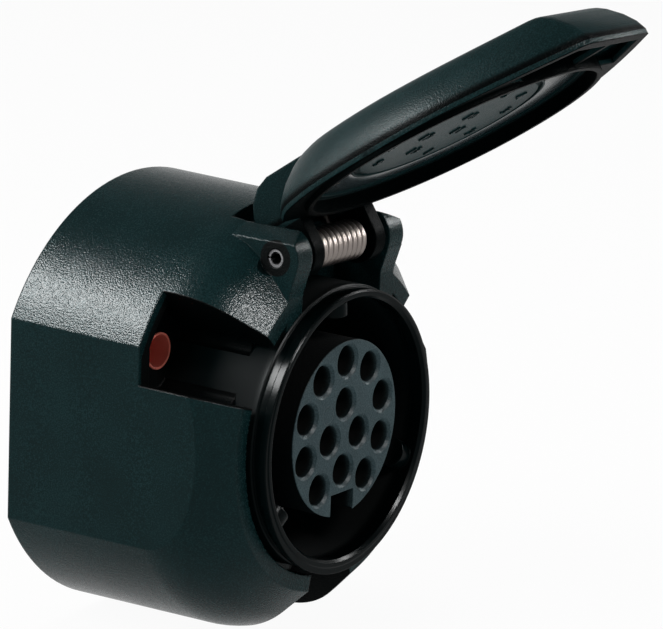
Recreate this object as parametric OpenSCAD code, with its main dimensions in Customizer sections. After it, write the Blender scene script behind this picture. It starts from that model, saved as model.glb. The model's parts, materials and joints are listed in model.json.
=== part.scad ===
// Thirteen-way towing socket with a spring lid.
// Origin: centre of the back face on the socket axis. +Z is up, the socket faces -Y.

/* [Body] */
// Radius of the barrel at the back face
body_back_r = 37.6; // [34:0.1:42]
// Radius of the barrel where the rounded front begins
body_front_r = 36.8; // [33:0.1:41]
// Half width across the side flats at the back face
flat_half = 33.5; // [30:0.1:36]
// Sideways draft of each flat over the length of the body
flat_draft = 1.1; // [0:0.1:2]
// Depth of the barrel from the back face to the rounded front
barrel_depth = 27.7; // [22:0.1:32]
// Depth from the back face to the front ring face
front_depth = 42.4; // [38:0.1:46]
// Radius of the rounding between barrel and front face
dome_r = 14.5; // [10:0.1:18]
// Outer radius of the flat front ring
front_ring_r = 28; // [26:0.1:30]
// Thickness of the outer skin
skin = 2.8; // [2:0.1:4]

/* [Collar] */
// Outer radius of the collar round the plug space
collar_r = 24.1; // [23.8:0.1:25]
// Outer radius of the collar's thinner front rim
rim_r = 23.6; // [23:0.1:24.5]
// How far the drip lip hangs below the rim
drip_lip = 0.9; // [0.6:0.1:1]
// Inner radius of the collar
collar_bore_r = 22.1; // [20:0.1:24]
// Depth from the back face to the collar's front edge
collar_depth = 45.5; // [43:0.1:48]
// Width of the drain groove round the collar
groove_w = 1.2; // [0.8:0.1:3]
// Depth of the drain groove below the front ring face
groove_depth = 4.5; // [1:0.1:8]
// Thickness of the wall at the bottom of the plug space
floor_t = 3; // [2:0.1:5]
// Depth from the back face to the rear side of that wall
floor_depth = 19; // [15:0.1:24]
// Diameter of each bayonet lug inside the collar
bayonet_d = 5; // [3:0.1:6]
// How far each bayonet lug stands out of the collar wall
bayonet_proud = 2.6; // [1:0.1:4]
// Distance of the bayonet lugs behind the collar edge
bayonet_back = 3.6; // [2.6:0.1:8]
// Directions of the three bayonet lugs, in degrees
bayonet_angles = [95, 215, 335];

/* [Fixing] */
// Pitch circle of the three fixing holes
fixing_pcd = 56; // [50:0.5:62]
// Directions of the fixing holes, in degrees
fixing_angles = [30, 150, 270];
// Half angle of each screw pocket
pocket_half = 12.5; // [9:0.5:16]
// Depth from the back face to the pocket floor
pocket_floor = 23.3; // [18:0.1:28]
// Step from the pocket floor to the edge of the outer skin
pocket_lip = 2.9; // [0:0.1:5]
// Radius of the fillet between each pocket's walls and the collar
pocket_fillet = 2.2; // [0.5:0.1:3]
// Bore radius of each fixing sleeve
sleeve_bore_r = 2.7; // [2.1:0.05:3.3]
// Wall thickness of each fixing sleeve
sleeve_wall = 0.4; // [0.3:0.05:1.2]
// Radial clearance of the sleeve in the body
sleeve_gap = 0.05; // [0.02:0.01:0.2]

/* [Contacts] */
// Radius of the contact carrier
insert_r = 15; // [13:0.1:17]
// Depth from the back face to the face of the contact carrier
insert_depth = 44.2; // [40:0.1:46]
// How far the rear shoulder stands out round the carrier
insert_shoulder = 0.9; // [0.5:0.1:2]
// Radius of the nine outer contacts' circle
ring_r = 11.51; // [10:0.01:13]
// Angle between neighbouring outer contacts
ring_step = 36; // [30:1:40]
// Radius of each pin opening in the face
pin_hole_r = 2.58; // [2:0.01:3]
// Depth of each pin opening before the contact begins
pin_hole_depth = 4.5; // [4:0.1:8]
// Outer radius of each contact
contact_r = 2.1; // [1.6:0.05:2.4]
// Bore radius of each contact
contact_bore_r = 1.25; // [1:0.05:1.5]
// Width of the key slot in the carrier
key_w = 6.6; // [4:0.1:8]
// Distance of the key slot's bottom from the socket axis
key_floor = 11; // [10:0.1:13]
// Clearance between parts that slide together
fit_gap = 0.05; // [0.02:0.01:0.2]

/* [Hinge] */
// Depth from the back face to the hinge axis
hinge_depth = 39.53; // [36:0.01:42]
// Height of the hinge axis above the socket axis
hinge_z = 30.5; // [28:0.1:34]
// Angle of the open lid above level
lid_open = 34; // [20:1:60]
// Radius of the hinge pin
hinge_pin_r = 1.5; // [1.2:0.05:2]
// Bore radius of the hollow pin
hinge_pin_bore = 1.05; // [0.5:0.05:1.2]
// Running clearance of the lid ears on the pin
hinge_gap = 0.06; // [0.02:0.01:0.1]
// Inner face of each body lug, from the middle
lug_in = 11.2; // [9:0.05:14]
// Outer face of each body lug, from the middle
lug_out = 15.25; // [13:0.05:18]
// How far the lugs reach in front of the hinge axis
nose_front = 4.45; // [4:0.05:5]
// Radius of the lugs' rounded nose
nose_r = 4.75; // [4.6:0.05:7]
// Radius of the lugs' top, which carries the barrel's round forward
lug_top_r = 36.5; // [35.5:0.1:38]
// Height of the shelf behind the hinge above the hinge axis
shelf_h = 2.7; // [2:0.1:3]
// Radius of the recess round each end of the pin
pin_recess_r = 2.95; // [2:0.05:4]
// Inner face of each lid ear, from the middle
ear_in = 7.4; // [6:0.05:9]
// Outer face of each lid ear, from the middle
ear_out = 10.2; // [9:0.05:11]
// Outer radius of each lid ear
ear_r = 4.25; // [3.4:0.05:4.6]
// Wire radius of the spring
wire_r = 0.7; // [0.4:0.05:1]
// Mean radius of the spring coil
coil_r = 2.8; // [2.3:0.05:3.2]
// Number of turns in the spring
coil_turns = 9; // [5:1:10]

/* [Lid] */
// Height of the lid's rim plane above the hinge axis
lid_rim_h = 4.4; // [4.3:0.1:5]
// Height of the upright edge of the lid
lid_edge = 0.9; // [0.5:0.1:3]
// Height of the lid's top above the hinge axis
lid_top_h = 12.4; // [10:0.1:14]
// Length of the lid from the hinge axis to the tab's end
lid_len = 65.3; // [60:0.1:70]
// Half width of the lid at its widest
lid_half = 26; // [25.5:0.1:30]
// Half width of the finger tab
tab_half = 10.3; // [6:0.1:14]
// Height of the lid's inner face above the hinge axis
lid_face_h = 6.15; // [5.9:0.05:7]
// Radius of the round recess in the lid
lid_recess_r = 24.9; // [24.7:0.1:25.3]
// Wall thickness of the ring round the recess
lid_ring_t = 1; // [0.6:0.1:2]
// How far that ring stands proud of the rim plane
lid_ring_proud = 0.8; // [0:0.1:1]
// Thickness of the lid's skin round the hollow tab
lid_skin = 2.4; // [1:0.1:3]
// Depth of the hollow in the tab
tab_hollow = 2.2; // [0.5:0.1:2.6]
// Height of the hinge block above the hinge axis
block_h = 13.1; // [12.5:0.1:15]
// Length of the hinge block's level top from the hinge axis
block_len = 13; // [8:0.5:18]
// Thickness of the sealing ring
seal_t = 1.2; // [0.8:0.1:2]
// Outer radius of the sealing ring
seal_out = 23.9; // [23.7:0.1:24.4]
// Inner radius of the sealing ring
seal_in = 17; // [14:0.1:20]
// Radius of the circular groove in the lid's face
face_groove_r = 16.2; // [10:0.1:16.5]

/* [Rear] */
// Thickness of the rear gasket
gasket_t = 3; // [2:0.1:4]
// Radius of the cable opening
cable_r = 4.6; // [3:0.1:6]
// Radius of the grommet body
grommet_r = 8.9; // [7:0.1:11]

/* [Hidden] */
$fn = 96;
eps = 0.5;
inner_r = body_front_r - skin;
inner_half = flat_half - flat_draft / 2 - skin;
tower_r = 5.4;
rib_t = 4;
sleeve_r = sleeve_bore_r + sleeve_wall;
fixing_r = fixing_pcd / 2;
dome_in = body_front_r - front_ring_r;
dome_rise = front_depth - barrel_depth;
dome_fit = min(dome_r, (dome_in * dome_in + dome_rise * dome_rise) / (2 * dome_in));
dome_c = body_front_r - dome_fit;
dome_turn = atan2(dome_rise, front_ring_r - dome_c)
  - acos(min(1, dome_fit / norm([front_ring_r - dome_c, dome_rise])));
front_wall_t = 7.9;
gasket_rim = 1.4;
gasket_gap = 0.15;
collar_back = 9;
insert_flange_r = 20.4;
insert_flange_t = 3.2;
flange_back = floor_depth - insert_flange_t;
retainer_t = 2.4;
retainer_back = flange_back - retainer_t;
screw_ring_r = 17.8;
retain_screw_r = 1.25;
shoulder_r = 3;
shoulder_t = 1.2;
barrel_r = 2.6;
contact_front = insert_depth - pin_hole_depth;
contact_back = 8.6;
terminal_depth = 10.9;
grub_r = 1;
hinge_y = -hinge_depth;
leg_floor = hinge_z - 6.6;
leg_boss = leg_floor + 1.7;
stop_z = hinge_z + shelf_h;
slot_back = hinge_y + 6.63;
notch_back = hinge_y + 11.85;
lid_axis = hinge_z;
black = [0.07, 0.08, 0.085];
gloss = [0.03, 0.03, 0.035];
dark_grey = [0.2, 0.22, 0.24];
nickel = [0.75, 0.7, 0.64];
brass = [0.8, 0.62, 0.3];
steel = [0.6, 0.6, 0.62];
brick = [0.55, 0.25, 0.24];
rubber = [0.05, 0.05, 0.05];

// positions of the thirteen contacts: nine on the ring, four inside
places = concat(
  [for (i = [0 : 8]) [ring_r, -54 + ring_step * i]],
  [[4.29, 90], [4.43, -18.6], [4.43, 198.6], [7.2, -90]]);
function place_x(i) = places[i - 1][0] * cos(places[i - 1][1]);
function place_z(i) = places[i - 1][0] * sin(places[i - 1][1]);

// a solid of revolution about the socket axis, from [radius, depth] points
module turned(points) {
  rotate([90, 0, 0]) rotate_extrude() polygon(points);
}

// a round bar along the socket axis between two depths
module bar(r, from, to, x = 0, z = 0) {
  translate([x, -from, z]) rotate([90, 0, 0]) cylinder(h = to - from, r = r);
}

// a [y, z] outline with its thickness along X, centred
module across(width, x = 0) {
  translate([x - width / 2, 0, 0]) rotate([90, 0, 90]) linear_extrude(width) children();
}

// a sector of the given half angle between two depths
module sector(angle, half, from, to) {
  translate([0, -from, 0]) rotate([90, 0, 0]) linear_extrude(to - from)
    polygon([[0, 0], [70 * cos(angle - half), 70 * sin(angle - half)],
      [70 * cos(angle + half), 70 * sin(angle + half)]]);
}

// barrel outline between two depths: a circle cut by two flats
module flatted(r, half, from, to) {
  intersection() {
    bar(r, from, to);
    translate([-half, -to - 1, -60]) cube([2 * half, to - from + 2, 120]);
  }
}

// the front rounding as [radius, depth] points, ending where the straight slope begins
function dome_points(n) = [for (i = [0 : n]) let (a = i * dome_turn / n)
  [dome_c + dome_fit * cos(a), barrel_depth + dome_fit * sin(a)]];

module body_solid() {
  intersection() {
    turned(concat([[0, 0], [body_back_r, 0]], dome_points(14),
      [[front_ring_r, front_depth], [collar_r + groove_w, front_depth],
       [collar_r + groove_w, front_depth - groove_depth], [0, front_depth - groove_depth]]));
    translate([0, 0, -60]) linear_extrude(120)
      polygon([[-flat_half, 0], [flat_half, 0],
        [flat_half - flat_draft, -collar_depth - 1], [-flat_half + flat_draft, -collar_depth - 1]]);
  }
}

module lugs() {
  intersection() {
    for (side = [-1, 1]) across(lug_out - lug_in, side * (lug_out + lug_in) / 2)
      translate([hinge_y, hinge_z]) union() {
        translate([nose_r - nose_front, 0]) circle(r = nose_r);
        polygon([[nose_r - nose_front, 6], [12.5, 6], [12.5, 0], [6, -12.5], [-2.85, -12.5],
          [-2.85, -6.3], [-3.1, -5.2], [-nose_front + 0.2, -1.6]]);
      }
    bar(lug_top_r, 0, 60);
  }
}

module cavity() {
  difference() {
    union() {
      intersection() {
        turned([[0, -eps], [inner_r, -eps], [inner_r, barrel_depth],
          [inner_r - 0.6, barrel_depth + 3.2], [inner_r - 2.2, barrel_depth + front_wall_t - 1.6],
          [collar_r - 1, barrel_depth + front_wall_t - 1.6], [collar_r - 1, -eps]]);
        translate([-inner_half, -50, -60]) cube([2 * inner_half, 60, 120]);
      }
      translate([0, eps, 0]) flatted(inner_r + gasket_rim, inner_half + gasket_rim, 0, gasket_t + gasket_gap + eps);
    }
    for (a = fixing_angles) {
      sector(a, pocket_half + 4.6, pocket_floor - 3, 40);
      bar(tower_r, 0, pocket_floor, fixing_r * cos(a), fixing_r * sin(a));
      rotate([0, -a, 0]) translate([fixing_r, -pocket_floor, -rib_t / 2]) cube([15, pocket_floor, rib_t]);
    }
    across(2 * lug_in + 6.6) polygon([[hinge_y + 3, 18], [slot_back + 2.5, 18], [slot_back + 2.5, stop_z - 3.9],
      [slot_back + 4.9, stop_z - 2.4], [notch_back + 2.5, stop_z - 2.4],
      [notch_back + 2.5, 42], [hinge_y + 3, 42]]);
  }
}

// half the outline of a pocket, seen along the axis, from its mouth in to the collar
function pocket_side(half) =
  let (d = asin(pocket_fillet / (collar_r + pocket_fillet)), c = (collar_r + pocket_fillet) * cos(d))
  [for (p = concat([[70, 0]],
      [for (i = [0 : 6]) let (t = -90 - (90 - d) * i / 6)
        [c + pocket_fillet * cos(t), pocket_fillet * (1 + sin(t))]],
      [[collar_r - 2, pocket_fillet + 0.4]]))
    [p[0] * cos(half) + p[1] * sin(half), p[1] * cos(half) - p[0] * sin(half)]];

module pockets() {
  side = pocket_side(pocket_half);
  for (a = fixing_angles) intersection() {
    rotate([0, -a, 0]) translate([0, -pocket_floor, 0]) rotate([90, 0, 0]) linear_extrude(40)
      polygon(concat(side, [for (i = [len(side) - 1 : -1 : 0]) [side[i][0], -side[i][1]]]));
    union() {
      flatted(inner_r + 0.2, inner_half, pocket_floor - 1, 60);
      bar(70, pocket_floor + pocket_lip, 61);
    }
  }
}

module hinge_slot() {
  difference() {
    across(2 * lug_in) polygon([[-60, 15], [-60, 50], [notch_back, 50], [notch_back, stop_z],
      [slot_back + 2.7, stop_z], [slot_back, stop_z - 2.7], [slot_back, 15]]);
    bar(collar_r, 20, 61);
  }
}

module along_pin(r, from, to) {
  translate([from, hinge_y, hinge_z]) rotate([0, 90, 0]) cylinder(h = to - from, r = r);
}

module housing() {
  color(black) difference() {
    union() {
      difference() {
        union() {
          body_solid();
          lugs();
        }
        hinge_slot();
      }
      translate([-coil_span() - 1.3, hinge_y + 1, 22]) cube([2.6, 7, leg_boss - 22]);
    }
    cavity();
    bar(collar_r, -1, front_depth + 1);
    pockets();
    for (a = fixing_angles)
      bar(sleeve_r + sleeve_gap, -1, pocket_floor + 1, fixing_r * cos(a), fixing_r * sin(a));
    along_pin(hinge_pin_r + 0.01, -lug_out - 1, lug_out + 1);
    for (side = [-1, 1]) along_pin(pin_recess_r, side > 0 ? lug_out : -lug_out - 8, side > 0 ? lug_out + 8 : -lug_out);
    translate([-coil_span(), hinge_y + coil_r, leg_floor]) cylinder(h = 4, r = wire_r + 0.1);
  }
}

module collar() {
  color(gloss) union() {
    difference() {
      union() {
        turned([[0, collar_back], [collar_r, collar_back], [collar_r, front_depth],
          [collar_r - 0.2, front_depth + 0.2], [rim_r, front_depth + 0.3], [rim_r, collar_depth - 0.3],
          [rim_r - 0.3, collar_depth], [0, collar_depth]]);
        bar(rim_r + drip_lip / 2 - 0.05, collar_depth - 1.5, collar_depth - 0.15, 0, -drip_lip / 2 - 0.05);
      }
      bar(insert_flange_r + 0.3, collar_back - 1, floor_depth);
      bar(insert_r + fit_gap * 3, floor_depth - 1, floor_depth + floor_t + 1);
      bar(collar_bore_r, floor_depth + floor_t, collar_depth + 1);
      turned([[0, collar_depth - 0.5], [collar_bore_r, collar_depth - 0.5],
        [collar_bore_r + 0.6, collar_depth + 0.1], [0, collar_depth + 0.1]]);
      for (a = [90, 210, 330])
        bar(retain_screw_r + 0.02, floor_depth - 1, floor_depth + 2.4, screw_ring_r * cos(a), screw_ring_r * sin(a));
    }
    for (a = bayonet_angles) rotate([0, -a, 0])
      translate([collar_bore_r - bayonet_proud, -collar_depth + bayonet_back, 0]) rotate([0, 90, 0])
        cylinder(h = bayonet_proud + 0.9, d = bayonet_d);
  }
}

module contact_insert() {
  color(dark_grey) difference() {
    union() {
      bar(insert_r, flange_back + 1, insert_depth);
      bar(insert_r + insert_shoulder, flange_back, floor_depth);
    }
    translate([-key_w / 2, -insert_depth - 1, -insert_r - 1])
      cube([key_w, insert_depth - floor_depth - floor_t + 1, insert_r + 1 - key_floor]);
    for (i = [1 : 13]) {
      bar(pin_hole_r, contact_front, insert_depth + 1, place_x(i), place_z(i));
      bar(contact_r + fit_gap, flange_back - 1, contact_front + 0.5, place_x(i), place_z(i));
      bar(shoulder_r + fit_gap, flange_back - 1, flange_back + shoulder_t, place_x(i), place_z(i));
      translate([place_x(i), 0, place_z(i)]) turned([[0, insert_depth - 0.5],
        [pin_hole_r, insert_depth - 0.5], [pin_hole_r + 0.5, insert_depth], [pin_hole_r + 0.5, insert_depth + 1], [0, insert_depth + 1]]);
    }
  }
}

module insert_retainer() {
  color(gloss) difference() {
    bar(insert_flange_r, retainer_back, floor_depth);
    bar(insert_r + insert_shoulder + fit_gap, flange_back, floor_depth + 1);
    for (i = [1 : 13]) bar(barrel_r + 0.1, retainer_back - 1, flange_back + 1, place_x(i), place_z(i));
    for (a = [90, 210, 330])
      bar(retain_screw_r + fit_gap, retainer_back - 1, floor_depth + 1, screw_ring_r * cos(a), screw_ring_r * sin(a));
  }
}

module retainer_screws() {
  color(steel) for (a = [90, 210, 330])
    translate([screw_ring_r * cos(a), 0, screw_ring_r * sin(a)]) difference() {
      union() {
        bar(retain_screw_r, retainer_back - 1, floor_depth + 2.3);
        bar(2.3, retainer_back - 1.8, retainer_back);
      }
      translate([-3, -retainer_back + 0.9, -0.3]) cube([6, 1.5, 0.6]);
    }
}

module contact(i) {
  a = places[i - 1][1];
  color(brass) translate([place_x(i), 0, place_z(i)]) difference() {
    union() {
      bar(contact_r, contact_back + 1, contact_front - 0.3);
      bar(shoulder_r, flange_back, flange_back + shoulder_t - 0.05);
      bar(barrel_r, contact_back, flange_back + 0.5);
    }
    bar(contact_bore_r, contact_front - 15, contact_front + 1);
    bar(1.3, contact_back - 1, contact_back + 4.6);
    for (t = [0, 90]) rotate([0, t, 0])
      translate([-0.25, -contact_front - 1, -3]) cube([0.5, 11, 6]);
    rotate([0, -a, 0]) translate([0, -terminal_depth, 0]) rotate([0, 90, 0]) cylinder(h = 4, r = grub_r);
  }
}

module contact_01() { contact(1); }
module contact_02() { contact(2); }
module contact_03() { contact(3); }
module contact_04() { contact(4); }
module contact_05() { contact(5); }
module contact_06() { contact(6); }
module contact_07() { contact(7); }
module contact_08() { contact(8); }
module contact_09() { contact(9); }
module contact_10() { contact(10); }
module contact_11() { contact(11); }
module contact_12() { contact(12); }
module contact_13() { contact(13); }

module terminal_screws() {
  color(steel) for (i = [1 : 13])
    translate([place_x(i), 0, place_z(i)]) rotate([0, -places[i - 1][1], 0])
      translate([0, -terminal_depth, 0]) rotate([0, 90, 0]) difference() {
        translate([0, 0, 0.7]) cylinder(h = 2.2, r = grub_r - 0.03);
        translate([-2, -0.2, 2.4]) cube([4, 0.4, 1]);
      }
}

module sleeve(a) {
  color(brick) difference() {
    bar(sleeve_r, 0, pocket_floor + 0.2, fixing_r * cos(a), fixing_r * sin(a));
    bar(sleeve_bore_r, -1, pocket_floor + 1, fixing_r * cos(a), fixing_r * sin(a));
  }
}

module sleeve_right() { sleeve(fixing_angles[0]); }
module sleeve_left() { sleeve(fixing_angles[1]); }
module sleeve_bottom() { sleeve(fixing_angles[2]); }

module rear_gasket() {
  color(rubber) difference() {
    flatted(inner_r + gasket_rim - 0.1, inner_half + gasket_rim - 0.1, gasket_gap, gasket_gap + gasket_t - 0.05);
    for (a = fixing_angles) {
      bar(tower_r + 0.15, -1, 5, fixing_r * cos(a), fixing_r * sin(a));
      rotate([0, -a, 0]) translate([fixing_r, -5, -rib_t / 2 - 0.15]) cube([15, 6, rib_t + 0.3]);
    }
    bar(grommet_r + 0.05, -1, 5);
  }
}

module cable_grommet() {
  color(rubber) difference() {
    turned([[0, 0], [grommet_r, 0], [grommet_r, gasket_t + 0.2], [grommet_r + 2, gasket_t + 0.2],
      [grommet_r + 2, gasket_t + 1.4], [grommet_r - 0.9, gasket_t + 1.4], [grommet_r - 2.6, 7.8], [0, 7.8]]);
    bar(cable_r, -1, 9);
  }
}

module hinge_pin() {
  color(steel) difference() {
    along_pin(hinge_pin_r, -lug_out + 0.15, lug_out - 0.15);
    along_pin(hinge_pin_bore, -lug_out - 1, lug_out + 1);
    translate([-lug_out - 1, hinge_y, hinge_z - 0.15]) cube([2 * lug_out + 2, 3, 0.3]);
  }
}

function coil_span() = ear_in - 0.5 - wire_r;

module torsion_spring() {
  step = 2 * coil_span() / (coil_turns - 1);
  color(nickel) union() {
    translate([0, hinge_y, hinge_z]) rotate([0, 90, 0]) {
      translate([0, 0, -coil_span()]) difference() {
        cylinder(h = 2 * coil_span(), r = coil_r + 0.15, $fn = 36);
        translate([0, 0, -1]) cylinder(h = 2 * coil_span() + 2, r = coil_r - 0.15, $fn = 36);
      }
      for (i = [0 : coil_turns - 1]) translate([0, 0, -coil_span() + i * step])
        rotate_extrude($fn = 36) translate([coil_r, 0]) circle(r = wire_r, $fn = 14);
    }
    translate([-coil_span(), hinge_y + coil_r, leg_floor + 0.2])
      cylinder(h = hinge_z - leg_floor - 0.2, r = wire_r - 0.03, $fn = 24);
    on_lid() translate([coil_span(), coil_r, 0]) cylinder(h = 6.5, r = wire_r - 0.03, $fn = 24);
  }
}

// the lid's own frame: X along the hinge, -Y towards the tab, +Z out through the lid
module on_lid() {
  translate([0, hinge_y, hinge_z]) rotate([-lid_open, 0, 0]) children();
}

function both(points) = concat([for (p = points) [p[0], -p[1]]],
  [for (i = [len(points) - 1 : -1 : 0]) [-points[i][0], -points[i][1]]]);

// a smooth curve through the given points, with n steps between neighbours
function through(q, n) = concat([for (i = [0 : len(q) - 2], k = [0 : n - 1])
  let (t = k / n, a = q[max(i - 1, 0)], b = q[i], c = q[i + 1], d = q[min(i + 2, len(q) - 1)])
  0.5 * (2 * b + (c - a) * t + (2 * a - 5 * b + 4 * c - d) * t * t + (3 * b - a - 3 * c + d) * t * t * t)],
  [q[len(q) - 1]]);

// half outlines of the lid at its rim and at its top: shares of lid_half and lid_len
rim_shape = [[0.59, 0.069], [0.83, 0.162], [0.97, 0.285], [1, 0.4], [0.985, 0.54],
  [0.92, 0.666], [0.77, 0.781], [0.56, 0.9]];
top_shape = [[0.454, 0.187], [0.546, 0.224], [0.665, 0.3], [0.712, 0.398], [0.7, 0.513],
  [0.612, 0.636], [0.48, 0.758], [0.37, 0.845]];
function scaled(shape) = [for (p = shape) [p[0] * lid_half, p[1] * lid_len]];
rim_line = concat(through(scaled(rim_shape), 3),
  [[tab_half, lid_len - 1.6], [tab_half - 0.6, lid_len - 0.5], [tab_half - 2, lid_len]]);
top_line = concat(through(scaled(top_shape), 3),
  [[tab_half - 1.5, lid_len - 8.1], [tab_half - 2, lid_len - 7.7], [tab_half - 3, lid_len - 7.6]]);

// share of the way from top outline to rim outline, and the drop that goes with it
lid_steps = [[0, 0], [0.12, 0.02], [0.26, 0.085], [0.42, 0.2], [0.7, 0.48], [0.9, 0.76], [1, 1]];

module lid_shell() {
  rise = lid_top_h - lid_rim_h - lid_edge;
  hull() {
    translate([0, 0, lid_rim_h]) linear_extrude(lid_edge) polygon(both(rim_line));
    for (f = lid_steps) translate([0, 0, lid_top_h - 0.05 - f[1] * (rise - 0.05)]) linear_extrude(0.05)
      polygon(both([for (i = [0 : len(rim_line) - 1]) top_line[i] + f[0] * (rim_line[i] - top_line[i])]));
  }
}

module lid_block() {
  translate([-ear_out, 0, 0]) rotate([90, 0, 90]) linear_extrude(2 * ear_out)
    polygon([[ear_r, lid_rim_h + 0.2], [ear_r, 8.3], [3.2, 10.4], [1, block_h - 0.8], [-1.6, block_h],
      [-block_len, block_h], [-block_len - 6, lid_top_h], [-block_len - 6, 8], [-8, lid_rim_h + 0.2]]);
}

module lid() {
  hollow = [[lid_half * 0.62, lid_len * 0.82], [lid_half * 0.51, lid_len * 0.88], [tab_half - lid_skin / 2, lid_len - lid_skin]];
  color(black) on_lid() difference() {
    union() {
      lid_shell();
      lid_block();
      translate([0, -lid_axis, lid_rim_h - lid_ring_proud])
        cylinder(h = lid_ring_proud + lid_edge, r = lid_recess_r + lid_ring_t);
      for (side = [-1, 1]) translate([side > 0 ? ear_in : -ear_out, 0, 0]) {
        rotate([0, 90, 0]) cylinder(h = ear_out - ear_in, r = ear_r);
        translate([0, -ear_r, 0]) cube([ear_out - ear_in, 2 * ear_r, 6]);
      }
    }
    translate([0, -lid_axis, 0]) {
      translate([0, 0, -1]) cylinder(h = lid_face_h + 1, r = lid_recess_r);
      difference() {
        cylinder(h = lid_face_h + seal_t, r = seal_out + fit_gap);
        cylinder(h = lid_face_h + seal_t + 1, r = seal_in - fit_gap);
      }
      difference() {
        cylinder(h = lid_face_h + 0.7, r = face_groove_r + 0.45);
        cylinder(h = lid_face_h + 1, r = face_groove_r - 0.45);
      }
    }
    translate([0, 0, lid_rim_h - 1.5]) linear_extrude(1.5 + tab_hollow) difference() {
      polygon(both(hollow));
      translate([0, -lid_axis]) circle(r = lid_recess_r + lid_ring_t - 0.05);
      translate([-0.5, -lid_len]) square([1, lid_len]);
    }
    translate([-ear_in + 0.1, -4, lid_rim_h - 1.5]) cube([2 * ear_in - 0.2, 4 + coil_r + wire_r + fit_gap, 5.4]);
    translate([-ear_out - 1, 0, 0]) rotate([0, 90, 0]) cylinder(h = 2 * ear_out + 2, r = hinge_pin_r + hinge_gap);
  }
}

module lid_seal() {
  color(gloss) on_lid() translate([0, -lid_axis, lid_face_h]) difference() {
    cylinder(h = seal_t - 0.02, r = seal_out);
    translate([0, 0, -1]) cylinder(h = seal_t + 2, r = seal_in);
  }
}

housing();
collar();
contact_insert();
insert_retainer();
retainer_screws();
contact_01();
contact_02();
contact_03();
contact_04();
contact_05();
contact_06();
contact_07();
contact_08();
contact_09();
contact_10();
contact_11();
contact_12();
contact_13();
terminal_screws();
sleeve_left();
sleeve_right();
sleeve_bottom();
rear_gasket();
cable_grommet();
hinge_pin();
torsion_spring();
lid();
lid_seal();
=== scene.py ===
import bpy
import bmesh
import json
import math
from mathutils import Matrix, Vector


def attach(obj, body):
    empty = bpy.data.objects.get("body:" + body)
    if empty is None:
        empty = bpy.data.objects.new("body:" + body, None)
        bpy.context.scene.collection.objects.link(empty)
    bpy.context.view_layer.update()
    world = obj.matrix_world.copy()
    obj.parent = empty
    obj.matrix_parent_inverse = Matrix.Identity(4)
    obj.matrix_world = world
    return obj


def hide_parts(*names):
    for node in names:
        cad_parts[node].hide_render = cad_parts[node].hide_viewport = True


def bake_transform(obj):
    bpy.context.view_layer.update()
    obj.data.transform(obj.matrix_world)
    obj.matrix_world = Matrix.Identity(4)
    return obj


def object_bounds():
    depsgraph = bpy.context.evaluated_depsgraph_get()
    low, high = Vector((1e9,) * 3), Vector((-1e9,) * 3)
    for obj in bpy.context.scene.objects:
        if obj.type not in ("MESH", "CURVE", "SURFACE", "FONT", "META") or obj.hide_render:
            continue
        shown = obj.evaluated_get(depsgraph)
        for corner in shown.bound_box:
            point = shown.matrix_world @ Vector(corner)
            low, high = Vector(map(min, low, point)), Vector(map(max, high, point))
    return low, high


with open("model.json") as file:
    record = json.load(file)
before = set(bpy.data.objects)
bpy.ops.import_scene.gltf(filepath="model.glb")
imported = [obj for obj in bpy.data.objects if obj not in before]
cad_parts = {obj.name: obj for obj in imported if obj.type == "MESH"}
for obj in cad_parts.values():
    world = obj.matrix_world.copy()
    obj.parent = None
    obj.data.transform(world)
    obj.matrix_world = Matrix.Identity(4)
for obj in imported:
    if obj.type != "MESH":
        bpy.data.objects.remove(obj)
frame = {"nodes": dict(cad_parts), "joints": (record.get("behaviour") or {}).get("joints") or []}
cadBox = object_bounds()
nodes = frame["nodes"]
scene = bpy.context.scene
mm = 0.001
print("frame loaded with", len(nodes), "nodes")


class Wire:
    def __init__(self, tree, socket):
        self.tree, self.socket = tree, socket

    def calc(self, operation, first, second=0.0, third=0.0):
        sockets = {0: first, 1: second, 2: third}
        return self.tree.node("ShaderNodeMath", {"operation": operation}, sockets)

    def __add__(self, other):
        return self.calc("ADD", self, other)

    def __mul__(self, other):
        return self.calc("MULTIPLY", self, other)

    def __sub__(self, other):
        return self.calc("SUBTRACT", self, other)

    def __rsub__(self, other):
        return self.calc("SUBTRACT", other, self)

    def __pow__(self, other):
        return self.calc("POWER", self, other)

    def __abs__(self):
        return self.calc("ABSOLUTE", self)

    __radd__ = __add__
    __rmul__ = __mul__

    def larger(self, other):
        return self.calc("MAXIMUM", self, other)

    def smaller(self, other):
        return self.calc("MINIMUM", self, other)

    def below(self, limit, soft=0.05 * mm):  # 1 under the limit, 0 from there on
        return (limit - self).fade(0.0, soft)

    def fade(self, low, high):  # 0 below low, 1 above high
        ends = {0: self, 1: low, 2: high}
        return self.tree.node("ShaderNodeMapRange", {"interpolation_type": "SMOOTHSTEP"}, ends)


class Tree:
    def __init__(self, nodeTree):
        self.nodes, self.links = nodeTree.nodes, nodeTree.links

    def node(self, kind, settings=None, sockets=None, out=0):
        made = self.nodes.new(kind)
        for name, value in (settings or {}).items():
            setattr(made, name, value)
        for key, value in (sockets or {}).items():
            if isinstance(value, Wire):
                self.links.new(value.socket, made.inputs[key])
            else:
                made.inputs[key].default_value = value
        return Wire(self, made.outputs[out]) if len(made.outputs) else None


# camera

view = {"azimuth": 55.86, "elevation": 13.44, "roll": 2.48, "distance": 497.6, "aside": -2.24,
        "above": 18.88, "faceDepth": 44.2, "lens": 162.9, "sensor": 36, "nearest": 0.01}


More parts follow.
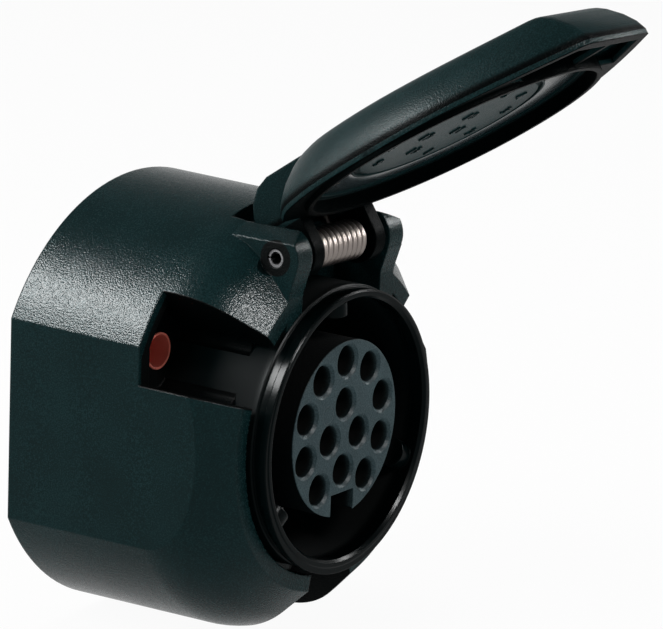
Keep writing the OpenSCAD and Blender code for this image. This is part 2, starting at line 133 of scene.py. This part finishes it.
def aimCamera():
    a, e, r = (math.radians(view[k]) for k in ("azimuth", "elevation", "roll"))
    ahead = Vector((math.sin(a) * math.cos(e), math.cos(a) * math.cos(e), -math.sin(e)))
    right = Vector((math.cos(a), -math.sin(a), 0))
    up = right.cross(ahead)
    across = right * math.cos(r) + up * math.sin(r)
    upright = up * math.cos(r) - right * math.sin(r)
    target = Vector((0, -view["faceDepth"], 0)) + across * view["aside"] + upright * view["above"]
    lens = bpy.data.cameras.new("productCamera")
    lens.lens, lens.sensor_width, lens.clip_start = view["lens"], view["sensor"], view["nearest"]
    camera = bpy.data.objects.new("productCamera", lens)
    scene.collection.objects.link(camera)
    turn = Matrix((across, upright, -ahead)).transposed().to_4x4()
    camera.matrix_world = Matrix.Translation((target - ahead * view["distance"]) * mm) @ turn
    scene.camera = camera


aimCamera()
print("camera placed")


# where the hollows and edges lie, in mm, for the masks of painted shade in the finishes

hingeJoint = frame["joints"][0]
hinge = Vector([v / mm for v in hingeJoint["pos_m"]])
lidOpen = hingeJoint["range_deg"][1] - 90.0  # the shut lid hangs straight down from the hinge
lidMiddle = -hinge.z  # along the lid, so that the shut lid is centred on the socket


def parts(tree, place):
    outputs = tree.node("ShaderNodeSeparateXYZ", None, {0: place}).socket.node.outputs
    return [Wire(tree, outputs[k]) for k in range(3)]


# edge, bore and behind set where the carrier's painted shade starts, in mm
carrierFace = {"edge": 0.05, "edgeSoft": 0.2, "bore": (0.1, 2.2), "behind": (0.05, 0.3), "frontReach": 0.1}
carrierCorners = [v.co for v in nodes["contact_insert"].data.vertices]
carrierFront = min(v.y for v in carrierCorners)
carrierFrontReach = carrierFront + carrierFace["frontReach"] * mm
carrierRim = max(math.hypot(v.x, v.z) for v in carrierCorners if v.y < carrierFrontReach)


def carrierDepths(tree, place):  # painted shade: the bores and the side behind the moulded face are darker than the face
    x, y, z = parts(tree, place)
    behind = y - carrierFront
    boreFrom, boreTo = (k * mm for k in carrierFace["bore"])
    sideFrom, sideTo = (k * mm for k in carrierFace["behind"])
    rim = carrierRim - carrierFace["edge"] * mm
    side = 1 - ((x * x + z * z) ** 0.5).below(rim, carrierFace["edgeSoft"] * mm)
    return behind.fade(boreFrom, boreTo).larger(side * behind.fade(sideFrom, sideTo))


# where the housing's painted shade lies
# first, every and half are in degrees and sideSoft in radians
pockets = {"first": 30, "every": 120, "half": 12.85, "sideSoft": 0.003, "lip": 26.3, "floor": 23.1,
           "innerHalf": 32.3, "innerRadius": 35.5, "pinRecess": 2.97, "recessFrom": 12.5}


def housingHollows(tree, place):  # painted shade inside the screw pockets and around the hinge pin
    x, y, z = parts(tree, place)
    depth, radius = 0 - y, (x * x + z * z) ** 0.5
    first, every, half = (math.radians(pockets[k]) for k in ("first", "every", "half"))
    angle = z.calc("ARCTAN2", z, x)
    fromMiddle = abs(angle.calc("WRAP", angle, first + every / 2, first - every / 2) - first)
    inPocket = fromMiddle.below(half, pockets["sideSoft"])
    inner = abs(x).below(pockets["innerHalf"] * mm) * radius.below(pockets["innerRadius"] * mm)
    inner = inner * (1 - depth.below(pockets["floor"] * mm))
    inPocket = inPocket * inner.larger(1 - depth.below(pockets["lip"] * mm))
    back, up = y - hinge.y * mm, z - hinge.z * mm
    atPin = ((back * back + up * up) ** 0.5).below(pockets["pinRecess"] * mm)
    return inPocket.larger(atPin * (1 - abs(x).below(pockets["recessFrom"] * mm)))


# where the lid's painted shade lies
# heights are above the hinge, square to the lid; disc and ring are radii about its middle
lidShade = {"rim": 4.5, "edge": 5.25, "edgeSoft": 0.1, "under": 6.6, "underSoft": 1.1,
            "disc": 24.0, "ring": 25.95, "face": 6.0}


def lidUnderside(tree, place):  # painted shade below the rim and in a band above its edge, but not on the disc
    x, y, z = parts(tree, place)
    back, up = y - hinge.y * mm, z - hinge.z * mm
    turn = math.radians(lidOpen)
    height = back * math.sin(turn) + up * math.cos(turn)
    along = up * math.sin(turn) - back * math.cos(turn) + lidMiddle * mm
    away = (x * x + along * along) ** 0.5
    band = 1 - height.below(lidShade["edge"] * mm, lidShade["edgeSoft"] * mm)
    band = band * height.below(lidShade["under"] * mm, lidShade["underSoft"] * mm)
    ring = away.below(lidShade["ring"] * mm) * height.below(lidShade["face"] * mm)
    shaded = band.larger(height.below(lidShade["rim"] * mm)).larger(ring)
    return shaded * (1 - away.below(lidShade["disc"] * mm))


# finishes

def newFinish(name):
    made = bpy.data.materials.new(name)
    made.use_nodes = True
    made.node_tree.nodes.clear()
    return made, Tree(made.node_tree)


def close(tree, shader):
    tree.node("ShaderNodeOutputMaterial", None, {"Surface": shader})


def plastic(tree, colour, roughness, normal, gloss):
    return tree.node("ShaderNodeBsdfPrincipled", None, {
        "Base Color": colour, "Roughness": roughness, "Normal": normal, "Specular IOR Level": gloss})


def roundedEdges(tree, radius):  # a bevel in the shading only, in mm
    return tree.node("ShaderNodeBevel", {"samples": 6}, {"Radius": radius * mm})


# shade, dark, duller and darkGloss give the painted shade: its mask, its colour, added roughness and gloss
grainLook = {"colour": (0.0036, 0.0138, 0.0146, 1), "light": (0.0055, 0.024, 0.026, 1), "tones": (0.35, 0.68),
             "fineTone": 0.6, "broadTone": 0.4, "broad": 60.0, "grain": 0.25, "dimples": 1.1, "pebbles": 0.5,
             "pebbleBlend": 0.7, "grainDepth": 0.36, "grainHeight": 0.12, "roughness": 0.25,
             "roughBroad": 0.14, "roughFine": 0.2, "gloss": 0.05, "edge": 0.45,
             "shade": None, "dark": (0.0004, 0.0013, 0.0014, 1), "duller": 0.25, "darkGloss": 0.03,
             "marks": (), "markLine": (0.04, 0.16), "markDepth": 6.0}


def grainedNylon(name, look):
    made, tree = newFinish(name)
    place = tree.node("ShaderNodeTexCoord", out=3)
    grains = 1 / (look["grain"] * mm)
    pebbles = tree.node("ShaderNodeTexVoronoi", {"feature": "SMOOTH_F1"},
                        {"Vector": place, "Scale": grains, "Smoothness": look["pebbleBlend"]})
    fine = tree.node("ShaderNodeTexNoise", None, {"Vector": place, "Scale": grains, "Detail": 0.0})
    broad = tree.node("ShaderNodeTexNoise", None, {"Vector": place, "Scale": look["broad"], "Detail": 3.0})
    mottle = (fine * look["fineTone"] + broad * look["broadTone"]).fade(*look["tones"])
    tone = tree.node("ShaderNodeMix", {"data_type": "RGBA"},
                     {0: mottle, 6: look["colour"], 7: look["light"]}, out=2)
    rough = look["roughness"] + (broad - 0.5) * look["roughBroad"] + (fine - 0.5) * look["roughFine"]
    # painted shade: under the mask the colour goes to the dark one and the surface gets duller
    if look["shade"]:
        shaded = look["shade"](tree, place)
        tone = tree.node("ShaderNodeMix", {"data_type": "RGBA"}, {0: shaded, 6: tone, 7: look["dark"]}, out=2)
        rough = rough + shaded * look["duller"]
    height = fine * look["dimples"] - pebbles * look["pebbles"]
    lineFrom, lineTo = (k * mm for k in look["markLine"])
    for x, z, radius in look["marks"]:  # shallow rings left by the ejector pins
        middle = (x * mm, carrierFront, z * mm)
        away = tree.node("ShaderNodeVectorMath", {"operation": "DISTANCE"}, {0: place, 1: middle}, out=1)
        height = height - (1 - abs(away - radius * mm).fade(lineFrom, lineTo)) * look["markDepth"]
    bump = tree.node("ShaderNodeBump", None, {
        "Strength": look["grainDepth"], "Distance": look["grainHeight"] * mm, "Height": height,
        "Normal": roundedEdges(tree, look["edge"])})
    shader = plastic(tree, tone, rough, bump, look["gloss"])
    # painted shade: a dark surface with little gloss is mixed in under the mask
    if look["shade"]:
        paintedShadeSurface = plastic(tree, look["dark"], rough, bump, look["darkGloss"])
        shader = tree.node("ShaderNodeMixShader", None, {0: shaded, 1: shader, 2: paintedShadeSurface})
    close(tree, shader)
    return made


smoothLook = {"colour": (0.0008, 0.003, 0.0033, 1), "roughness": 0.24, "roughWaves": 0.15, "gloss": 0.05,
              "edge": 0.25, "waves": 120.0, "specks": 3500.0, "speckShare": 0.4,
              "bump": 0.25, "bumpHeight": 0.04, "matt": None}


def mouldedPlastic(name, look):
    made, tree = newFinish(name)
    place = tree.node("ShaderNodeTexCoord", out=3)
    waves = tree.node("ShaderNodeTexNoise", None, {"Vector": place, "Scale": look["waves"], "Detail": 3.0})
    fine = tree.node("ShaderNodeTexNoise", None, {"Vector": place, "Scale": look["specks"], "Detail": 1.0})
    height = fine * look["speckShare"] + waves
    bump = tree.node("ShaderNodeBump", None, {
        "Strength": look["bump"], "Distance": look["bumpHeight"] * mm, "Height": height,
        "Normal": roundedEdges(tree, look["edge"])})
    rough = look["roughness"] + (waves - 0.5) * look["roughWaves"]
    if look["matt"]:  # polished at the front edge, matt further back
        start, reach, most = look["matt"]
        behindFront = parts(tree, place)[1] - start * mm
        rough = rough + behindFront.fade(0.0, reach * mm) * most
    close(tree, plastic(tree, look["colour"], rough, bump, look["gloss"]))
    return made


metalLook = {"streaks": 1500.0, "streakRough": 0.2, "bump": 0.2, "bumpHeight": 0.03,
             "spring": ((0.19, 0.167, 0.154, 1), 0.38), "pin": ((0.13, 0.13, 0.135, 1), 0.42),
             "brass": ((0.62, 0.44, 0.16, 1), 0.28), "screw": ((0.5, 0.5, 0.5, 1), 0.32)}


def drawnMetal(name, colour, roughness):
    made, tree = newFinish(name)
    place = tree.node("ShaderNodeTexCoord", out=3)
    streak = tree.node("ShaderNodeTexNoise", None,
                       {"Vector": place, "Scale": metalLook["streaks"], "Detail": 4.0})
    rough = roughness + (streak - 0.5) * metalLook["streakRough"]
    bump = tree.node("ShaderNodeBump", None, {
        "Strength": metalLook["bump"], "Distance": metalLook["bumpHeight"] * mm, "Height": streak})
    close(tree, tree.node("ShaderNodeBsdfPrincipled", None, {
        "Base Color": colour, "Metallic": 1.0, "Roughness": rough, "Normal": bump}))
    return made


housingLook = dict(grainLook, shade=housingHollows)
lidLook = dict(grainLook, roughness=0.37, gloss=0.027, light=(0.007, 0.026, 0.028, 1),
               duller=0.05, darkGloss=0.008, shade=lidUnderside)
carrierLook = dict(grainLook, colour=(0.028, 0.05, 0.057, 1), light=(0.052, 0.084, 0.093, 1),
                   grainDepth=0.35, roughness=0.4, edge=0.2, shade=carrierDepths,
                   dark=(0.002, 0.004, 0.0045, 1),
                   marks=((-5.0, 3.2, 1.5), (-7.6, -7.0, 0.9), (6.8, 1.4, 1.2)))
collarLook = dict(smoothLook, gloss=0.03, roughness=0.2, matt=(-43.5, 2.5, 0.5))
sealLook = dict(smoothLook, colour=(0.012, 0.022, 0.025, 1), roughness=0.25, gloss=0.3)
rubberLook = dict(smoothLook, colour=(0.008, 0.008, 0.008, 1), roughness=0.5)
sleeveLook = dict(smoothLook, colour=(0.85, 0.22, 0.165, 1), roughness=0.6)
finishes = {
    "body": grainedNylon("bodyNylon", grainLook),
    "housing": grainedNylon("housingNylon", housingLook),
    "lid": grainedNylon("lidNylon", lidLook),
    "carrier": grainedNylon("carrierPlastic", carrierLook),
    "smooth": mouldedPlastic("smoothPlastic", smoothLook),
    "collar": mouldedPlastic("collarPlastic", collarLook),
    "seal": mouldedPlastic("sealBand", sealLook),
    "rubber": mouldedPlastic("sealRubber", rubberLook),
    "sleeve": mouldedPlastic("redSleeve", sleeveLook),
    "spring": drawnMetal("springWire", *metalLook["spring"]),
    "pin": drawnMetal("hingePinSteel", *metalLook["pin"]),
    "brass": drawnMetal("contactBrass", *metalLook["brass"]),
    "screw": drawnMetal("screwSteel", *metalLook["screw"]),
}
finishOf = {"housing": "housing", "collar": "collar", "lid": "body", "lid_seal": "smooth",
            "contact_insert": "carrier", "insert_retainer": "smooth", "retainer_screws": "screw",
            "terminal_screws": "screw", "rear_gasket": "rubber", "cable_grommet": "rubber",
            "hinge_pin": "pin", "torsion_spring": "spring",
            "sleeve_left": "sleeve", "sleeve_right": "sleeve", "sleeve_bottom": "sleeve"}
for name, node in nodes.items():  # every node without a line of its own is a contact
    node.data.materials.clear()
    node.data.materials.append(finishes[finishOf.get(name, "brass")])
print("finishes given to every node")


# pieces made here; those of the lid are drawn with the lid level and the hinge at the origin

lidPlace = Matrix.Translation(hinge * mm) @ Matrix.Rotation(math.radians(-lidOpen), 4, "X")


def newPiece(name, mesh, finish, body):
    piece = bpy.data.objects.new(name, mesh)
    scene.collection.objects.link(piece)
    mesh.materials.clear()
    mesh.materials.append(finish)
    if body:
        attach(piece, body)
    return piece


def smoothed(mesh, angle):  # merged, with shading smooth except at real edges
    work = bmesh.new()
    work.from_mesh(mesh)
    bmesh.ops.remove_doubles(work, verts=work.verts, dist=0.001 * mm)
    bmesh.ops.recalc_face_normals(work, faces=work.faces)
    for face in work.faces:
        face.smooth = True
    for edge in work.edges:
        edge.smooth = len(edge.link_faces) == 2 and edge.calc_face_angle(0) < math.radians(angle)
    work.to_mesh(mesh)
    work.free()
    return mesh


lidShading = {"sharpFrom": 31}
lidMesh = smoothed(nodes["lid"].data.copy(), lidShading["sharpFrom"])
lidSkin = newPiece("lidSkin", lidMesh, finishes["lid"], "lid")
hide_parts("lid")
print("lid skin smoothed")

sealBand = {"inner": 17.0, "outer": 23.85, "base": 7.3, "edge": 6.7, "crown": 6.17,
            "arcSteps": 9, "turnSteps": 120, "sharpFrom": 50}


def bandMesh(band):
    half, middle = (band["outer"] - band["inner"]) / 2, (band["outer"] + band["inner"]) / 2
    arc = []
    for k in range(band["arcSteps"] + 1):
        turn = math.pi * k / band["arcSteps"]
        swell = (band["edge"] - band["crown"]) * math.sin(turn)
        arc.append((middle - half * math.cos(turn), band["edge"] - swell))
    profile = [(band["inner"], band["base"])] + arc + [(band["outer"], band["base"])]
    work = bmesh.new()
    ring = [work.verts.new((r * mm, lidMiddle * mm, z * mm)) for r, z in profile]
    edges = [work.edges.new((ring[k], ring[(k + 1) % len(ring)])) for k in range(len(ring))]
    bmesh.ops.spin(work, geom=ring + edges, cent=(0, lidMiddle * mm, 0), axis=(0, 0, 1),
                   angle=math.tau, steps=band["turnSteps"])
    mesh = bpy.data.meshes.new("sealBand")
    work.to_mesh(mesh)
    work.free()
    return smoothed(mesh, band["sharpFrom"])


sealMesh = bandMesh(sealBand)
sealMesh.transform(lidPlace)
sealRing = newPiece("sealRing", sealMesh, finishes["seal"], "lid")
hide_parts("lid_seal")
print("seal band made")

numberMarks = {"size": 3.3, "raise": 0.28, "curveSteps": 3, "spread": 1.08, "face": 6.15, "sharpFrom": 20,
               "ring": 11.51, "inRing": 9, "first": -54, "step": 36,
               "inner": ((4.29, 90), (4.43, -18.6), (4.43, 198.6), (7.2, -90))}


def contactPlaces(look):
    ring = [(look["ring"], look["first"] + look["step"] * k) for k in range(look["inRing"])]
    places = ring + list(look["inner"])
    return [(r * math.cos(math.radians(a)), r * math.sin(math.radians(a))) for r, a in places]


def numberMesh(number, look):
    text = bpy.data.curves.new("number", "FONT")
    text.body, text.size, text.extrude = str(number), look["size"], look["raise"]
    text.align_x, text.align_y, text.resolution_u = "CENTER", "CENTER", look["curveSteps"]
    made = bpy.data.objects.new("number", text)
    scene.collection.objects.link(made)
    bpy.context.view_layer.update()
    mesh = bpy.data.meshes.new_from_object(made.evaluated_get(bpy.context.evaluated_depsgraph_get()))
    bpy.data.objects.remove(made)
    bpy.data.curves.remove(text)
    return mesh


def raisedNumbers(look):  # laid out as the contacts are
    work = bmesh.new()
    for index, (x, y) in enumerate(contactPlaces(look)):
        mesh = numberMesh(index + 1, look)
        mesh.transform(Matrix.Translation((x * look["spread"], y * look["spread"], 0)))
        work.from_mesh(mesh)
        bpy.data.meshes.remove(mesh)
    mesh = bpy.data.meshes.new("lidNumbers")
    work.to_mesh(mesh)
    work.free()
    place = Matrix.Translation((0, lidMiddle * mm, look["face"] * mm))
    faceDown = Matrix.Rotation(math.pi, 4, "X") @ Matrix.Scale(mm, 4)
    mesh.transform(lidPlace @ place @ faceDown)
    return smoothed(mesh, look["sharpFrom"])


newPiece("lidNumbers", raisedNumbers(numberMarks), finishes["body"], "lid")
print("numbers raised on the lid")

spring = {"wire": 0.63, "coil": 2.8, "span": 6.2, "turns": 9, "floorLeg": 6.3, "lidLeg": 6.4,
          "coilSteps": 40, "wireSides": 14, "sharpFrom": 40}
springInputs = {"Coil radius": "Float", "Wire radius": "Float", "Half length": "Float", "Turns": "Float",
                "Floor leg": "Vector", "Lid leg": "Vector", "Lid side": "Vector", "Finish": "Material"}


def springTree():
    group = bpy.data.node_groups.new("coiledWire", "GeometryNodeTree")
    for name, kind in springInputs.items():
        group.interface.new_socket(name=name, in_out="INPUT", socket_type="NodeSocket" + kind)
    group.interface.new_socket(name="Geometry", in_out="OUTPUT", socket_type="NodeSocketGeometry")
    tree = Tree(group)
    given = tree.nodes.new("NodeGroupInput")
    coil, wire, half, turns, floorLeg, lidLeg, lidSide, finish = (
        Wire(tree, given.outputs[k]) for k in range(len(springInputs)))

    def leg(root, way):  # straight, from root along way
        tip = tree.node("ShaderNodeVectorMath", {"operation": "ADD"}, {0: root, 1: way})
        return tree.node("GeometryNodeCurvePrimitiveLine", {"mode": "POINTS"}, {"Start": root, "End": tip})

    spiral = tree.node("GeometryNodeCurveSpiral", None, {
        "Resolution": spring["coilSteps"], "Rotations": turns, "Start Radius": coil, "End Radius": coil,
        "Height": half * 2})
    alongPin = Matrix(((0, 0, 1), (1, 0, 0), (0, 1, 0))).to_euler()  # the spiral's own axis is upright
    start = tree.node("ShaderNodeCombineXYZ", None, {0: 0 - half, 1: 0.0, 2: 0.0})
    laid = tree.node("GeometryNodeTransform", None,
                     {"Geometry": spiral, "Translation": start, "Rotation": tuple(alongPin)})
    root = tree.node("ShaderNodeCombineXYZ", None, {0: 0 - half, 1: coil, 2: 0.0})
    section = tree.node("GeometryNodeCurvePrimitiveCircle", None,
                        {"Resolution": spring["wireSides"], "Radius": wire})
    joined = tree.node("GeometryNodeJoinGeometry")
    for curve in (laid, leg(root, floorLeg), leg(lidSide, lidLeg)):
        tube = tree.node("GeometryNodeCurveToMesh", None,
                         {"Curve": curve, "Profile Curve": section, "Fill Caps": True})
        tree.links.new(tube.socket, joined.socket.node.inputs[0])
    whole = tree.node("GeometryNodeRealizeInstances", None, {"Geometry": joined})
    dressed = tree.node("GeometryNodeSetMaterial", None, {"Geometry": whole, "Material": finish})
    shown = tree.nodes.new("NodeGroupOutput")
    tree.links.new(dressed.socket, shown.inputs[0])
    return group


def grown(name, group, values):
    carrier = bpy.data.objects.new(name, bpy.data.meshes.new(name))
    scene.collection.objects.link(carrier)
    modifier = carrier.modifiers.new("grow", "NODES")
    modifier.node_group = group
    items = group.interface.items_tree
    named = {item.name: item.identifier for item in items if item.in_out == "INPUT"}
    for key, value in values.items():
        modifier[named[key]] = value
    bpy.context.view_layer.update()
    mesh = bpy.data.meshes.new_from_object(carrier.evaluated_get(bpy.context.evaluated_depsgraph_get()))
    bpy.data.objects.remove(carrier)
    return mesh


turnBack = math.radians(-lidOpen)
lidSide = Vector((spring["span"], spring["coil"] * math.cos(turnBack), spring["coil"] * math.sin(turnBack)))
lidLeg = Vector((0, -math.sin(turnBack), math.cos(turnBack))) * spring["lidLeg"]
springMesh = grown("coiledWire", springTree(), {
    "Coil radius": spring["coil"] * mm, "Wire radius": spring["wire"] * mm,
    "Half length": spring["span"] * mm, "Turns": spring["turns"] - lidOpen / 360,
    "Floor leg": (0.0, 0.0, -spring["floorLeg"] * mm), "Lid leg": tuple(lidLeg * mm),
    "Lid side": tuple(lidSide * mm), "Finish": finishes["spring"]})
springMesh.transform(Matrix.Translation(hinge * mm))
springMesh = smoothed(springMesh, spring["sharpFrom"])
springPiece = newPiece("coilSpring", springMesh, finishes["spring"], None)
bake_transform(springPiece)
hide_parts("torsion_spring")
print("spring coiled with", len(springMesh.polygons), "faces")


# floor, world and lamps

studio = {"floor": (0.88, 0.88, 0.88, 1), "floorDrop": 0.3, "floorSize": 3.0, "floorGlow": 0.95,
          "worldGrey": 0.07, "overheadDim": 0.75, "dimFrom": 0.05, "dimTo": 0.6, "lampsAimAt": (0, -30, 10)}


def seenPlainly(tree):  # 1 where the camera, a mirror or a lens looks straight at it
    path = tree.node("ShaderNodeLightPath").socket.node
    kinds = ("Is Camera Ray", "Is Glossy Ray", "Is Transmission Ray")
    rays = [Wire(tree, path.outputs[name]) for name in kinds]
    return (rays[0] + rays[1] + rays[2]).smaller(1.0)


def paleFloor():
    low = min(v[2] for v in cadBox) - studio["floorDrop"] * mm
    size = studio["floorSize"]
    corners = [(-size, -size, low), (size, -size, low), (size, size, low), (-size, size, low)]
    mesh = bpy.data.meshes.new("paleFloor")
    mesh.from_pydata(corners, [], [(0, 1, 2, 3)])
    floor = bpy.data.objects.new("paleFloor", mesh)
    scene.collection.objects.link(floor)
    made, tree = newFinish("floorPaper")
    paper = tree.node("ShaderNodeBsdfPrincipled", None, {
        "Base Color": studio["floor"], "Roughness": 0.9, "Specular IOR Level": 0.1})
    glow = tree.node("ShaderNodeEmission", None, {"Color": (1, 1, 1, 1), "Strength": 1.0})
    glowing = seenPlainly(tree) * studio["floorGlow"]
    close(tree, tree.node("ShaderNodeMixShader", None, {0: glowing, 1: paper, 2: glow}))
    mesh.materials.append(made)


def lightWorld():
    world = bpy.data.worlds.new("studio")
    world.use_nodes = True
    world.node_tree.nodes.clear()
    tree = Tree(world.node_tree)
    height = parts(tree, tree.node("ShaderNodeTexCoord", out=3))[2]
    mirrored = Wire(tree, tree.node("ShaderNodeLightPath").socket.node.outputs["Is Glossy Ray"])
    ceiling = height.fade(studio["dimFrom"], studio["dimTo"])
    dimmed = 1 - mirrored * ceiling * studio["overheadDim"]  # a dark ceiling above the bright walls
    strength = (seenPlainly(tree) * (1 - studio["worldGrey"]) + studio["worldGrey"]) * dimmed
    back = tree.node("ShaderNodeBackground", None, {"Color": (1, 1, 1, 1), "Strength": strength})
    tree.node("ShaderNodeOutputWorld", None, {"Surface": back})
    scene.world = world


# each softbox: direction from the socket, distance and size in metres, brightness of its cloth,
# and whether it lights the colours or only the gloss
lamps = {"glossBehindLeft": ((-0.52, 0.56, 0.62), 0.5, (0.26, 0.13), 128.0, False),
         "glossFront": ((-0.12, -0.74, 0.66), 0.6, (0.12, 0.12), 280.0, False),
         "glossRight": ((0.8, -0.42, 0.42), 0.6, (0.14, 0.14), 60.0, False),
         "glossBehind": ((-0.4, 0.88, 0.26), 0.6, (0.3, 0.16), 18.0, False),
         "softLeft": ((-0.75, 0.35, 0.6), 0.9, (0.7, 0.5), 4.6, True),
         "softRight": ((0.55, -0.8, 0.25), 0.8, (0.35, 0.35), 2.5, True),
         "softFront": ((0.05, -0.97, 0.25), 0.8, (0.35, 0.35), 3.0, True),
         "overhead": ((0.25, 0.2, 1.0), 0.9, (0.7, 0.7), 2.4, True)}


def hangLamps():
    middle = Vector(studio["lampsAimAt"]) * mm
    for name, (way, distance, size, brightness, lightsColours) in lamps.items():
        data = bpy.data.lights.new(name, "AREA")
        data.shape, data.size, data.size_y = "RECTANGLE", size[0], size[1]
        data.energy = brightness * math.pi * size[0] * size[1]
        lamp = bpy.data.objects.new(name, data)
        scene.collection.objects.link(lamp)
        lamp.visible_diffuse, lamp.visible_glossy = lightsColours, not lightsColours
        way = Vector(way).normalized()
        lamp.location = middle + way * distance
        lamp.rotation_euler = (-way).to_track_quat("-Z", "Y").to_euler()


paleFloor()
lightWorld()
hangLamps()
scene.view_settings.view_transform = "Standard"
print("floor, world and lamps ready")
